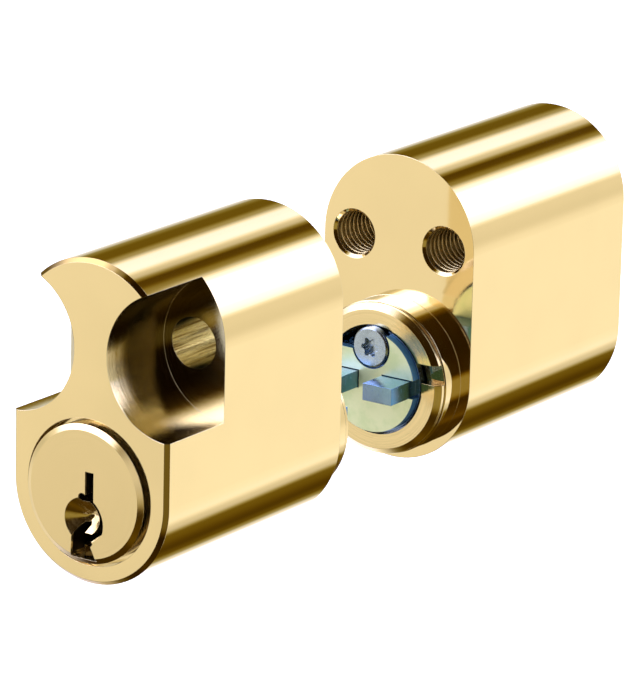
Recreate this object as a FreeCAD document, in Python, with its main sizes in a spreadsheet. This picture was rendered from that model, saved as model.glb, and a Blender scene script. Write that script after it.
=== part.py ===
"""Two-piece oval lock cylinder set: two brass halves on one axis, held apart where the lock case goes.

Frame: millimetres. +Y runs along the plugs' axis from the near half to the far half, +Z is up and
+X is to the right seen from the near half's key side. The origin is on the plug axis, in the plane
of the near half's mounting face.

Each half is drawn in its own frame: its mounting face lies in y = 0, its body runs to
y = -(its length), and its nose and driver stand out towards +Y. The far half is the same drawing
turned half a turn about Z and moved to the other side of the lock case.
"""
import FreeCAD, Part
import math
import os

import Sketcher
from FreeCAD import Placement, Rotation, Vector

PIN_COUNT = 6
TORX_LOBES = 6
PIN_LETTERS = "ABCDEF"
KEY_PIN_LENGTHS = [3.0, 3.8, 3.3, 4.2, 3.6, 4.0]

SIZES = [
    ("body_width", 20.0, "width of the oval body and diameter of its round ends"),
    ("body_height", 35.0, "height of the oval body"),
    ("near_length", 31.2, "length of the near half's body"),
    ("far_length", 32.1, "length of the far half's body"),
    ("face_gap", 25.4, "distance between the two mounting faces"),
    ("front_chamfer", 0.45, "chamfer round the front face"),
    ("plug_bore_radius", 6.3, "bore that the plug turns in"),
    ("plug_radius", 6.25, "plug barrel"),
    ("head_radius", 7.5, "plug head"),
    ("head_bevel_depth", 0.32, "depth of the bevel round the plug head"),
    ("head_flat_radius", 6.9, "flat front of the plug head, inside its bevel"),
    ("head_recess_radius", 7.95, "recess in the body for the plug head"),
    ("head_depth", 1.6, "depth of that recess"),
    ("head_proud", 0.9, "height of the plug head in front of the body"),
    ("head_clearance", 0.1, "gap behind the plug head"),
    ("pocket_radius", 7.9, "screw head pocket"),
    ("pocket_depth", 9.8, "depth of the pocket from the front"),
    ("screw_spread", 6.0, "sideways distance of each screw hole from the middle"),
    ("clearance_radius", 2.8, "clearance hole for the fixing screw"),
    ("thread_radius", 2.5, "fixing thread, nominal radius"),
    ("thread_depth", 20.0, "depth of the fixing thread"),
    ("thread_mouth_chamfer", 0.35, "chamfer at the mouth of the fixing thread"),
    ("collar_radius", 8.8, "collar on the mounting face"),
    ("collar_height", 3.0, "height of the collar"),
    ("collar_chamfer", 0.12, "chamfer on the collar"),
    ("flange_bore_radius", 7.0, "counterbore for the driver's flange"),
    ("flange_bore_depth", 3.0, "depth of that counterbore below the mounting face"),
    ("ring_radius", 8.65, "nose ring"),
    ("ring_neck_radius", 8.4, "groove between nose ring and collar"),
    ("ring_neck_height", 0.12, "width of that groove"),
    ("ring_flat_radius", 8.0, "flat front of the nose ring, inside its bevel"),
    ("ring_side_height", 0.4, "straight side of the nose ring"),
    ("ring_front", 4.1, "front of the nose ring above the mounting face"),
    ("ring_skirt_depth", 0.7, "depth of the ring's skirt in the counterbore"),
    ("notch_width", 2.2, "spanner notch in the nose ring"),
    ("notch_low", 0.7, "height of the notch's lower wall above the axis"),
    ("notch_depth", 1.2, "depth of the spanner notch"),
    ("flange_radius", 6.9, "driver flange, captive under the nose ring"),
    ("flange_back", 2.9, "back of the driver below the mounting face"),
    ("flange_front", 0.9, "front of the flange below the mounting face"),
    ("driver_radius", 6.07, "driver drum inside the nose ring"),
    ("driver_front", 4.0, "front of the drum above the mounting face"),
    ("lug_inner", 1.6, "inner end of a driver lug"),
    ("lug_outer", 5.4, "outer end of a driver lug"),
    ("lug_half", 0.97, "half the thickness of a driver lug"),
    ("near_lug_front", 8.1, "front of the near lugs above the mounting face"),
    ("far_lug_front", 8.8, "front of the far lugs above the mounting face"),
    ("plate_radius", 5.85, "passivated plate on the driver"),
    ("plate_front", 5.0, "front of the plate above the mounting face"),
    ("plate_seat_radius", 2.5, "cut-out in the plate round the screw head"),
    ("lug_play", 0.08, "gap between plate and lugs"),
    ("cut_side", 1.7, "side of the cut-away beside the driver screw"),
    ("cut_low", 3.4, "lower edge of the cut-away"),
    ("cut_floor", 0.6, "floor of the cut-away above the mounting face"),
    ("boss_radius", 2.0, "boss under the screw head"),
    ("screw_height", 3.95, "height of the driver screw above the axis"),
    ("screw_radius", 1.25, "driver screw shank"),
    ("screw_hole_radius", 1.3, "hole for the driver screw"),
    ("screw_head_radius", 2.3, "edge of the driver screw's head"),
    ("screw_head_back", 4.3, "underside of the screw head"),
    ("screw_head_front", 5.2, "top of the screw head"),
    ("screw_head_round", 0.18, "bevel round the screw head"),
    ("screw_end", 5.0, "end of the screw below the mounting face"),
    ("torx_tip", 1.15, "lobe tips of the six-lobe socket"),
    ("torx_root", 0.82, "roots between the lobes"),
    ("torx_depth", 0.9, "depth of the six-lobe socket"),
    ("fit_gap", 0.05, "gap between pieces that fit closely"),
    ("pin_first", 5.8, "first pin chamber behind the front face"),
    ("pin_pitch", 3.8, "distance between pin chambers"),
    ("chamber_radius", 1.45, "pin chamber"),
    ("chamber_top", 17.5, "blind top of the chambers above the axis"),
    ("chamber_start", 10.5, "where the drill starts below the axis"),
    ("pin_bore_floor", 0.8, "floor of the pin bores in the plug"),
    ("pin_radius", 1.35, "key pins and driver pins"),
    ("pin_nose_radius", 0.5, "flat end of a pin's cone"),
    ("pin_nose_height", 0.8, "height of a key pin's cone"),
    ("key_pin_top", 6.05, "top of the key pins at the shear line"),
    ("driver_pin_foot", 6.4, "foot of the driver pins at the shear line"),
    ("driver_pin_length", 3.6, "driver pin"),
    ("driver_pin_bevel", 0.25, "bevel on both ends of a driver pin"),
    ("spring_outer_radius", 1.25, "outside of a pin spring"),
    ("spring_inner_radius", 0.95, "inside of a pin spring"),
    ("stopper_radius", 1.42, "stopper that closes a drilled chamber"),
    ("stopper_foot", 9.88, "outer end of a stopper below the axis"),
    ("stopper_top", 7.4, "inner end of a stopper below the axis"),
    ("keyway_end", 4.0, "end of the keyway below the mounting face"),
    ("dimple_radius", 2.45, "mouth of the conical key entry"),
    ("dimple_depth", 2.05, "depth of the conical key entry"),
    ("dimple_drop", 2.8, "key entry below the plug axis"),
]


def make_sheet(doc):
    """The driving dimensions, one row each: name, value and meaning."""
    sheet = doc.addObject("Spreadsheet::Sheet", "Sizes")
    rows = list(SIZES)
    for letter, length in zip(PIN_LETTERS, KEY_PIN_LENGTHS):
        rows.append(("key_pin_length" + letter, length, "length of one key pin"))
    for row, (alias, size, meaning) in enumerate(rows, start=1):
        sheet.set("A%d" % row, alias)
        sheet.set("B%d" % row, str(size))
        sheet.set("C%d" % row, meaning)
        sheet.setAlias("B%d" % row, alias)
    doc.recompute()


def with_sheet(half, expression):
    """Puts the sheet's name in front of every size, and this half's own half_length and lug_front."""
    for general, own in (("half_length", "_length"), ("lug_front", "_lug_front")):
        expression = expression.replace(general, half.name + own)
    words = []
    word = ""
    for letter in expression + " ":
        if letter.isalpha() or letter == "_":
            word += letter
            continue
        if word:
            words.append("Sizes." + word)
            word = ""
        words.append(letter)
    return "".join(words).strip()


class Half:
    """One half of the set: its name prefix and where its own frame lies in the whole."""

    def __init__(self, doc, name, is_far):
        self.doc = doc
        self.probe = doc.addObject("App::FeaturePython", name + "_probe")
        self.name = name
        self.is_far = is_far
        self.nodes = []

    def label(self, piece):
        return self.name + "_" + piece

    def place(self, piece_object):
        """Turns and moves a finished piece of the far half; the near half stays put."""
        if self.is_far:
            piece_object.Placement = Placement(Vector(0, 0, 0), Rotation(Vector(0, 0, 1), 180))
            piece_object.setExpression("Placement.Base.y", "Sizes.face_gap")
        self.nodes.append(piece_object)
        return piece_object

    def number(self, expression):
        """What an expression of sheet names comes to now, for a sketch's first guess."""
        return float(self.probe.evalExpression(with_sheet(self, expression)))


def new_body(half, piece):
    body = half.doc.addObject("PartDesign::Body", half.label(piece))
    body.Label = half.label(piece)
    return body


def new_sketch(half, body, name, role, offset=None):
    """A sketch on one of the body's own planes, moved along the plane's normal by offset."""
    sketch = body.newObject("Sketcher::SketchObject", half.label(name))
    planes = [plane for plane in body.Origin.OriginFeatures if plane.Role == role]
    sketch.AttachmentSupport = [(planes[0], "")]
    sketch.MapMode = "FlatFace"
    if offset is not None:
        sketch.setExpression("AttachmentOffset.Base.z", with_sheet(half, offset))
    return sketch


def bind(half, sketch, constraint, expression):
    index = sketch.addConstraint(constraint)
    sketch.setExpression("Constraints[%d]" % index, with_sheet(half, expression))


def locate(half, sketch, item, point, across, up):
    """Ties a point of an item to the sketch's axes; a zero coordinate lies on the axis itself.

    across and up are pairs (sign, expression), or None on an axis.
    """
    for axis, kind, pair in ((-2, "DistanceX", across), (-1, "DistanceY", up)):
        if pair is None:
            sketch.addConstraint(Sketcher.Constraint("PointOnObject", item, point, axis))
            continue
        sign, expression = pair
        amount = half.number(expression)
        ends = (-1, 1, item, point) if sign > 0 else (item, point, -1, 1)
        bind(half, sketch, Sketcher.Constraint(kind, *ends, amount), expression)


def signed(half, pair):
    return 0.0 if pair is None else pair[0] * half.number(pair[1])


def draw_circle(half, sketch, radius, across=None, up=None):
    centre = Vector(signed(half, across), signed(half, up), 0)
    item = sketch.addGeometry(Part.Circle(centre, Vector(0, 0, 1), half.number(radius)), False)
    bind(half, sketch, Sketcher.Constraint("Radius", item, half.number(radius)), radius)
    locate(half, sketch, item, 3, across, up)
    return item


def draw_polygon(half, sketch, corners):
    """A closed outline of straight lines; each corner is a pair of (sign, expression) or None."""
    points = [Vector(signed(half, across), signed(half, up), 0) for across, up in corners]
    items = []
    for index, start in enumerate(points):
        end = points[(index + 1) % len(points)]
        items.append(sketch.addGeometry(Part.LineSegment(start, end), False))
    for index, item in enumerate(items):
        following = items[(index + 1) % len(items)]
        sketch.addConstraint(Sketcher.Constraint("Coincident", item, 2, following, 1))
    for item, (across, up) in zip(items, corners):
        locate(half, sketch, item, 1, across, up)
    return items


def draw_box(half, sketch, left, right, low, high):
    """A rectangle between two sideways limits and two upward limits."""
    return draw_polygon(half, sketch, [(left, low), (right, low), (right, high), (left, high)])


def extrude(half, body, kind, name, sketch, length, backwards=False):
    """A Pad or a Pocket of a sketch, its length bound to the sheet."""
    feature = body.newObject("PartDesign::" + kind, half.label(name))
    feature.Profile = sketch
    feature.Reversed = backwards
    feature.setExpression("Length", with_sheet(half, length))
    half.doc.recompute()
    return feature


def revolve(half, body, kind, name, sketch, axis="H_Axis"):
    """A full Revolution or Groove of a sketch about one of its own axes."""
    feature = body.newObject("PartDesign::" + kind, half.label(name))
    feature.Profile = sketch
    feature.ReferenceAxis = (sketch, [axis])
    feature.Angle = 360.0
    half.doc.recompute()
    return feature


def pin_place(index):
    """Sheet expression for a chamber's distance in front of the mounting face."""
    return "half_length - pin_first - %d * pin_pitch" % index


def make_housing(half):
    """Oval brass body with collar, plug bore, chambers, and pockets or threads for the screws."""
    doc = half.doc
    body = new_body(half, "housing")
    outline = new_sketch(half, body, "oval_outline", "XZ_Plane")
    radius = half.number("body_width / 2")
    rise = half.number("body_height - body_width")
    low_arc = Part.Arc(Vector(-radius, 0, 0), Vector(0, -radius, 0), Vector(radius, 0, 0))
    high_arc = Part.Arc(Vector(radius, rise, 0), Vector(0, rise + radius, 0), Vector(-radius, rise, 0))
    low = outline.addGeometry(low_arc, False)
    right = outline.addGeometry(Part.LineSegment(Vector(radius, 0, 0), Vector(radius, rise, 0)), False)
    high = outline.addGeometry(high_arc, False)
    left = outline.addGeometry(Part.LineSegment(Vector(-radius, rise, 0), Vector(-radius, 0, 0)), False)
    for first, first_end, second, second_end in (
        (low, 2, right, 1), (right, 2, high, 1), (high, 2, left, 1), (left, 2, low, 1),
    ):
        outline.addConstraint(Sketcher.Constraint("Tangent", first, first_end, second, second_end))
    outline.addConstraint(Sketcher.Constraint("Coincident", low, 3, -1, 1))
    outline.addConstraint(Sketcher.Constraint("PointOnObject", high, 3, -2))
    outline.addConstraint(Sketcher.Constraint("Vertical", right))
    bind(half, outline, Sketcher.Constraint("Radius", low, radius), "body_width / 2")
    bind(half, outline, Sketcher.Constraint("DistanceY", -1, 1, high, 3, rise), "body_height - body_width")
    extrude(half, body, "Pad", "oval_body", outline, "half_length")

    collar = new_sketch(half, body, "collar_outline", "XZ_Plane")
    draw_circle(half, collar, "collar_radius")
    raised = extrude(half, body, "Pad", "collar", collar, "collar_height", backwards=True)

    edges = front_edges(raised.Shape, -half.number("half_length"))
    break_edges(half, body, raised, "front_chamfer", edges)
    collar_rim = front_edges(body.Tip.Shape, half.number("collar_height"))
    break_edges(half, body, body.Tip, "collar_chamfer", collar_rim)

    cuts = (
        ("plug_bore", "plug_bore_radius", "half_length", "half_length + collar_height"),
        ("head_recess", "head_recess_radius", "half_length", "head_depth"),
    )
    for name, radius_name, start, depth in cuts:
        ring = new_sketch(half, body, name + "_outline", "XZ_Plane", start)
        draw_circle(half, ring, radius_name)
        extrude(half, body, "Pocket", name, ring, depth)
    counterbore = new_sketch(half, body, "counterbore_outline", "XZ_Plane", "0 - collar_height")
    draw_circle(half, counterbore, "flange_bore_radius")
    depth = "flange_bore_depth + collar_height"
    extrude(half, body, "Pocket", "counterbore", counterbore, depth, backwards=True)

    if half.is_far:
        cut_fixing_threads(half, body)
    else:
        cut_screw_pockets(half, body)
    cut_chambers(half, body)
    doc.recompute()
    return half.place(body)


def front_edges(shape, plane_y):
    """Names of the outer edges of a shape that lie in one plane across the axis."""
    names = []
    for index, edge in enumerate(shape.Edges, start=1):
        box = edge.BoundBox
        if abs(box.YMin - plane_y) < 1e-4 and abs(box.YMax - plane_y) < 1e-4:
            names.append("Edge%d" % index)
    return names


def break_edges(half, body, base, size, edges):
    chamfer = body.newObject("PartDesign::Chamfer", half.label(size))
    chamfer.Base = (base, edges)
    chamfer.setExpression("Size", with_sheet(half, size))
    half.doc.recompute()
    return chamfer


def cut_screw_pockets(half, body):
    """Two round pockets in the flanks for the screw heads, and the screws' clearance holes."""
    pockets = new_sketch(half, body, "pocket_outline", "XZ_Plane", "half_length")
    holes = new_sketch(half, body, "hole_outline", "XZ_Plane", "half_length")
    up = (1, "body_height - body_width")
    for side in (-1, 1):
        draw_circle(half, pockets, "pocket_radius", (side, "body_width / 2"), up)
        draw_circle(half, holes, "clearance_radius", (side, "screw_spread"), up)
    extrude(half, body, "Pocket", "screw_pockets", pockets, "pocket_depth")
    extrude(half, body, "Pocket", "screw_holes", holes, "half_length")


def cut_fixing_threads(half, body):
    """Two blind threaded holes in the mounting face, with chamfered mouths."""
    up = (1, "body_height - body_width")
    bores = new_sketch(half, body, "thread_outline", "XZ_Plane")
    for side in (-1, 1):
        draw_circle(half, bores, "thread_radius", (side, "screw_spread"), up)
    extrude(half, body, "Pocket", "fixing_threads", bores, "thread_depth", backwards=True)
    radius = half.number("thread_radius")
    rims = []
    for index, edge in enumerate(body.Tip.Shape.Edges, start=1):
        is_round = edge.Curve.TypeId == "Part::GeomCircle" and abs(edge.Curve.Radius - radius) < 1e-6
        if is_round and abs(edge.Curve.Center.y) < 1e-6:
            rims.append("Edge%d" % index)
    break_edges(half, body, body.Tip, "thread_mouth_chamfer", rims)


def cut_chambers(half, body):
    """Pin chambers drilled from the underside, through the plug bore, to blind tops."""
    drills = new_sketch(half, body, "chamber_outline", "XY_Plane", "0 - chamber_start")
    for index in range(PIN_COUNT):
        draw_circle(half, drills, "chamber_radius", None, (-1, pin_place(index)))
    depth = "chamber_start + chamber_top"
    extrude(half, body, "Pocket", "chambers", drills, depth, backwards=True)


def make_nose_ring(half):
    """Threaded nose ring: skirt in the counterbore, groove, bevelled front and spanner notch."""
    body = new_body(half, "nose_ring")
    section = new_sketch(half, body, "ring_section", "YZ_Plane")
    skirt_end = (-1, "ring_skirt_depth")
    neck_start = (1, "collar_height")
    side_start = (1, "collar_height + ring_neck_height")
    bevel_start = (1, "collar_height + ring_neck_height + ring_side_height")
    front = (1, "ring_front")
    skirt = (1, "flange_bore_radius - fit_gap")
    corners = [
        (skirt_end, (1, "plug_bore_radius")), (skirt_end, skirt), (neck_start, skirt),
        (neck_start, (1, "ring_neck_radius")), (side_start, (1, "ring_neck_radius")),
        (side_start, (1, "ring_radius")), (bevel_start, (1, "ring_radius")),
        (front, (1, "ring_flat_radius")), (front, (1, "plug_bore_radius")),
    ]
    draw_polygon(half, section, corners)
    revolve(half, body, "Revolution", "ring", section)
    notch = new_sketch(half, body, "notch_outline", "XZ_Plane", "0 - ring_front")
    low = (1, "notch_low")
    high = (1, "notch_low + notch_width")
    draw_box(half, notch, (-1, "collar_radius"), (-1, "lug_outer"), low, high)
    extrude(half, body, "Pocket", "spanner_notch", notch, "notch_depth", backwards=True)
    return half.place(body)


def draw_keyway(half, sketch):
    """The keyway's outline: a narrow upper slot, a right-hand bulge and an open lower ward.

    Straight runs and arcs in millimetres from the plug axis; it leaves through the plug's underside.
    """
    upper_slot = [(1.25, -0.6), (1.25, 2.5), (0.17, 2.5), (0.17, -0.05)]
    bump = [(0.17, -0.05), (-0.7, -0.3), (-0.4, -0.85)]
    middle = [(-0.4, -0.85), (0.55, -0.75)]
    inner_bulge = [(0.55, -0.75), (1.45, -2.3), (0.6, -4.4)]
    tooth = [(0.6, -4.4), (-0.3, -4.4), (0.05, -3.6), (-0.1, -3.3), (-0.65, -3.4)]
    left_wall = [(-0.65, -3.4), (-1.35, -4.2), (-1.55, -5.4)]
    exit_left = [(-1.55, -5.4), (-1.65, -7.0), (1.65, -7.0)]
    lower_ward = [(1.65, -7.0), (1.1, -5.9), (0.9, -5.55), (1.2, -5.2), (1.0, -4.95)]
    outer_low = [(1.0, -4.95), (1.75, -4.35), (2.4, -3.9)]
    outer_bulge = [(2.4, -3.9), (2.35, -2.0), (1.25, -0.6)]
    for run in (upper_slot, middle, tooth, exit_left, lower_ward, outer_low):
        for start, end in zip(run, run[1:]):
            sketch.addGeometry(Part.LineSegment(Vector(*start, 0), Vector(*end, 0)), False)
    for run in (bump, inner_bulge, left_wall, outer_bulge):
        sketch.addGeometry(Part.Arc(*[Vector(*point, 0) for point in run]), False)
    for item in range(sketch.GeometryCount):
        sketch.addConstraint(Sketcher.Constraint("Block", item))


def make_plug(half):
    """Turning plug: barrel, bevelled head, keyway, conical key entry, pin bores and screw hole."""
    body = new_body(half, "plug")
    section = new_sketch(half, body, "plug_section", "YZ_Plane")
    back = (-1, "flange_back")
    head_back = (-1, "half_length - head_depth + head_clearance")
    bevel_foot = (-1, "half_length + head_proud - head_bevel_depth")
    front = (-1, "half_length + head_proud")
    corners = [
        (back, None), (back, (1, "plug_radius")), (head_back, (1, "plug_radius")),
        (head_back, (1, "head_radius")), (bevel_foot, (1, "head_radius")),
        (front, (1, "head_flat_radius")), (front, None),
    ]
    draw_polygon(half, section, corners)
    revolve(half, body, "Revolution", "plug_barrel", section)
    keyway = new_sketch(half, body, "keyway_outline", "XZ_Plane", "half_length + head_proud")
    draw_keyway(half, keyway)
    depth = "half_length + head_proud - keyway_end"
    extrude(half, body, "Pocket", "keyway", keyway, depth)

    entry = new_sketch(half, body, "entry_section", "YZ_Plane")
    centre_line = entry.addGeometry(
        Part.LineSegment(
            Vector(-half.number("half_length"), -half.number("dimple_drop"), 0),
            Vector(0, -half.number("dimple_drop"), 0),
        ),
        True,
    )
    entry.addConstraint(Sketcher.Constraint("Horizontal", centre_line))
    locate(half, entry, centre_line, 1, (-1, "half_length"), (-1, "dimple_drop"))
    mouth = (-1, "half_length + head_proud")
    tip = (-1, "half_length + head_proud - dimple_depth")
    axis_height = (-1, "dimple_drop")
    rim_height = (-1, "dimple_drop + dimple_radius")
    draw_polygon(half, entry, [(mouth, axis_height), (mouth, rim_height), (tip, axis_height)])
    revolve(half, body, "Groove", "key_entry", entry, axis="Axis0")

    bores = new_sketch(half, body, "pin_bore_outline", "XY_Plane", "pin_bore_floor")
    for index in range(PIN_COUNT):
        draw_circle(half, bores, "chamber_radius", None, (-1, pin_place(index)))
    extrude(half, body, "Pocket", "pin_bores", bores, "head_radius", backwards=True)

    screw = new_sketch(half, body, "plug_screw_outline", "XZ_Plane", "flange_back")
    draw_circle(half, screw, "screw_radius", None, (1, "screw_height"))
    depth = "screw_end - flange_back"
    extrude(half, body, "Pocket", "plug_screw_hole", screw, depth, backwards=True)
    return half.place(body)


def draw_lugs(half, sketch, play, end="lug_outer"):
    """Two blocks, one each side of the axis, grown by play on every side."""
    low = (-1, "lug_half" + play)
    high = (1, "lug_half" + play)
    inner = "lug_inner" + play.replace("+", "-")
    outer = end + play
    draw_box(half, sketch, (1, inner), (1, outer), low, high)
    draw_box(half, sketch, (-1, outer), (-1, inner), low, high)


def draw_cut_away(half, sketch):
    """The corner that is milled away beside the driver screw."""
    reach = (1, "flange_radius")
    draw_box(half, sketch, (-1, "cut_side"), reach, (1, "cut_low"), reach)


def make_driver_body(half):
    """Steel driver: captive flange, drum inside the nose ring, and two lugs for the lock case."""
    body = new_body(half, "driver_body")
    section = new_sketch(half, body, "driver_section", "YZ_Plane")
    back = (-1, "flange_back")
    flange_front = (-1, "flange_front")
    front = (1, "driver_front")
    corners = [
        (back, None), (back, (1, "flange_radius")), (flange_front, (1, "flange_radius")),
        (flange_front, (1, "driver_radius")), (front, (1, "driver_radius")), (front, None),
    ]
    draw_polygon(half, section, corners)
    revolve(half, body, "Revolution", "driver_drum", section)
    cut = new_sketch(half, body, "driver_cut_outline", "XZ_Plane", "0 - driver_front")
    draw_cut_away(half, cut)
    extrude(half, body, "Pocket", "driver_cut", cut, "driver_front - cut_floor", backwards=True)
    boss = new_sketch(half, body, "boss_outline", "XZ_Plane", "flange_front")
    draw_circle(half, boss, "boss_radius", None, (1, "screw_height"))
    length = "screw_head_back + flange_front"
    extrude(half, body, "Pad", "screw_boss", boss, length, backwards=True)
    hole = new_sketch(half, body, "driver_hole_outline", "XZ_Plane", "0 - lug_front")
    draw_circle(half, hole, "screw_hole_radius", None, (1, "screw_height"))
    length = "lug_front + flange_back"
    extrude(half, body, "Pocket", "driver_screw_hole", hole, length, backwards=True)
    lugs = new_sketch(half, body, "lug_outline", "XZ_Plane")
    draw_lugs(half, lugs, "")
    extrude(half, body, "Pad", "lugs", lugs, "lug_front", backwards=True)
    return half.place(body)


def make_driver_plate(half):
    """Passivated plate on the drum, slotted for the lugs and cut away beside the screw."""
    body = new_body(half, "driver_plate")
    disc = new_sketch(half, body, "plate_outline", "XZ_Plane", "0 - driver_front")
    draw_circle(half, disc, "plate_radius")
    extrude(half, body, "Pad", "plate", disc, "plate_front - driver_front", backwards=True)
    slots = new_sketch(half, body, "plate_slots", "XZ_Plane", "0 - plate_front")
    draw_lugs(half, slots, " + lug_play", "plate_radius")
    extrude(half, body, "Pocket", "lug_slots", slots, "plate_front", backwards=True)
    cut = new_sketch(half, body, "plate_cut_outline", "XZ_Plane", "0 - plate_front")
    draw_cut_away(half, cut)
    extrude(half, body, "Pocket", "plate_cut", cut, "plate_front", backwards=True)
    seat = new_sketch(half, body, "plate_seat_outline", "XZ_Plane", "0 - plate_front")
    draw_circle(half, seat, "plate_seat_radius", None, (1, "screw_height"))
    extrude(half, body, "Pocket", "plate_seat", seat, "plate_front", backwards=True)
    return half.place(body)


def make_driver_screw(half):
    """Six-lobe screw that holds plate and driver to the plug."""
    body = new_body(half, "driver_screw")
    head = new_sketch(half, body, "screw_head_outline", "XZ_Plane", "0 - screw_head_back")
    up = (1, "screw_height")
    draw_circle(half, head, "screw_head_radius", None, up)
    top = extrude(
        half, body, "Pad", "screw_head", head, "screw_head_front - screw_head_back", backwards=True
    )
    rim = front_edges(top.Shape, half.number("screw_head_front"))
    break_edges(half, body, top, "screw_head_round", rim)
    shank = new_sketch(half, body, "shank_outline", "XZ_Plane", "0 - screw_head_back")
    draw_circle(half, shank, "screw_radius", None, up)
    extrude(half, body, "Pad", "screw_shank", shank, "screw_head_back + screw_end")
    socket = new_sketch(half, body, "socket_outline", "XZ_Plane", "0 - screw_head_front")
    centre = Vector(0, half.number("screw_height"), 0)
    tip = half.number("torx_tip")
    root = half.number("torx_root")
    middle = (tip + root) / 2
    step = 2 * math.pi / TORX_LOBES
    for lobe in range(TORX_LOBES):
        for radius, turn in ((tip, lobe * step), (root, (lobe + 0.5) * step)):
            points = []
            for away, reach in ((-step / 4, middle), (0, radius), (step / 4, middle)):
                direction = Vector(math.cos(turn + away), math.sin(turn + away), 0)
                points.append(centre + direction * reach)
            socket.addGeometry(Part.Arc(*points), False)
    for item in range(socket.GeometryCount):
        socket.addConstraint(Sketcher.Constraint("Block", item))
    extrude(half, body, "Pocket", "screw_socket", socket, "torx_depth", backwards=True)
    return half.place(body)


def revolved_pin(half, piece, index, corners):
    """A pin turned about its own upright axis, in chamber number index."""
    body = new_body(half, "%s_%d" % (piece, index + 1))
    section = new_sketch(half, body, "%s_section_%d" % (piece, index + 1), "XZ_Plane", pin_place(index))
    draw_polygon(half, section, corners)
    revolve(half, body, "Revolution", "%s_turned_%d" % (piece, index + 1), section, axis="V_Axis")
    return half.place(body)


def make_key_pin(half, index):
    """Key pin: flat top at the shear line, conical nose in the keyway."""
    top = "key_pin_top"
    length = "key_pin_length" + PIN_LETTERS[index]
    foot = (1, top + " - " + length)
    shoulder = (1, top + " - " + length + " + pin_nose_height")
    corners = [
        (None, foot), ((1, "pin_nose_radius"), foot), ((1, "pin_radius"), shoulder),
        ((1, "pin_radius"), (1, top)), (None, (1, top)),
    ]
    return revolved_pin(half, "key_pin", index, corners)


def make_driver_pin(half, index):
    """Driver pin: a plain cylinder with both ends bevelled."""
    foot = "driver_pin_foot"
    top = "driver_pin_foot + driver_pin_length"
    end = (1, "pin_radius - driver_pin_bevel")
    side = (1, "pin_radius")
    corners = [
        (None, (1, foot)), (end, (1, foot)), (side, (1, foot + " + driver_pin_bevel")),
        (side, (1, top + " - driver_pin_bevel")), (end, (1, top)), (None, (1, top)),
    ]
    return revolved_pin(half, "driver_pin", index, corners)


def upright_cylinder(half, name, index, radius, low, length):
    """A Part cylinder standing in a chamber, its sizes and place bound to the sheet."""
    rod = half.doc.addObject("Part::Cylinder", half.label("%s_%d" % (name, index + 1)))
    rod.setExpression("Radius", with_sheet(half, radius))
    rod.setExpression("Height", with_sheet(half, length))
    rod.setExpression("Placement.Base.y", with_sheet(half, "0 - 1 * (" + pin_place(index) + ")"))
    rod.setExpression("Placement.Base.z", with_sheet(half, low))
    return rod


def make_pin_spring(half, index):
    """Outer shape of a pin spring: a tube of the coil's outer and inner radius."""
    low = "driver_pin_foot + driver_pin_length + fit_gap"
    length = "chamber_top - driver_pin_foot - driver_pin_length - 2 * fit_gap"
    outside = upright_cylinder(half, "spring_outside", index, "spring_outer_radius", low, length)
    inside = upright_cylinder(half, "spring_inside", index, "spring_inner_radius", low, length)
    tube = half.doc.addObject("Part::Cut", half.label("pin_spring_%d" % (index + 1)))
    tube.Base = outside
    tube.Tool = inside
    tube.Label = half.label("pin_spring_%d" % (index + 1))
    half.doc.recompute()
    return half.place(tube)


def make_chamber_stoppers(half):
    """Brass stoppers that close the drilled chambers in the underside, as separate solids."""
    stoppers = []
    for index in range(PIN_COUNT):
        low = "0 - stopper_foot"
        length = "stopper_foot - stopper_top"
        stoppers.append(upright_cylinder(half, "stopper", index, "stopper_radius", low, length))
    group = half.doc.addObject("Part::Compound", half.label("chamber_stoppers"))
    group.Links = stoppers
    group.Label = half.label("chamber_stoppers")
    half.doc.recompute()
    return half.place(group)


def make_half(doc, name, is_far):
    half = Half(doc, name, is_far)
    make_housing(half)
    make_nose_ring(half)
    make_plug(half)
    make_driver_body(half)
    make_driver_plate(half)
    make_driver_screw(half)
    make_chamber_stoppers(half)
    for index in range(PIN_COUNT):
        make_key_pin(half, index)
        make_driver_pin(half, index)
        make_pin_spring(half, index)
    return half.nodes


def check_and_export(doc, nodes):
    """Stops on a failed feature or a bad shape, then writes one STEP file for each piece."""
    for item in doc.Objects:
        if "Invalid" in item.State or "Error" in item.State:
            raise RuntimeError("failed feature: %s %s" % (item.Label, item.State))
    os.makedirs("parts", exist_ok=True)
    for node in nodes:
        shape = node.Shape
        if shape.isNull() or not shape.isValid():
            raise RuntimeError("bad shape: %s" % node.Label)
        solids = len(shape.Solids)
        print("%-24s solids %d volume %9.2f" % (node.Label, solids, shape.Volume))
        shape.exportStep("parts/%s.step" % node.Label)


def main():
    doc = FreeCAD.newDocument("oval_cylinder_set")
    make_sheet(doc)
    nodes = make_half(doc, "near", is_far=False)
    nodes += make_half(doc, "far", is_far=True)
    doc.recompute()
    check_and_export(doc, nodes)


main()
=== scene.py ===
"""Looks of the two-piece oval lock cylinder set: brass, zinc, fixing threads, pin springs and studio.

Laid out as a Blender add-on. All lengths are in metres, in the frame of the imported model: +Y runs
along the plugs' axis from the near half to the far half, and +Z is up.
"""
import math

import bpy
import numpy as np
from mathutils import Matrix, Vector


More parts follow.
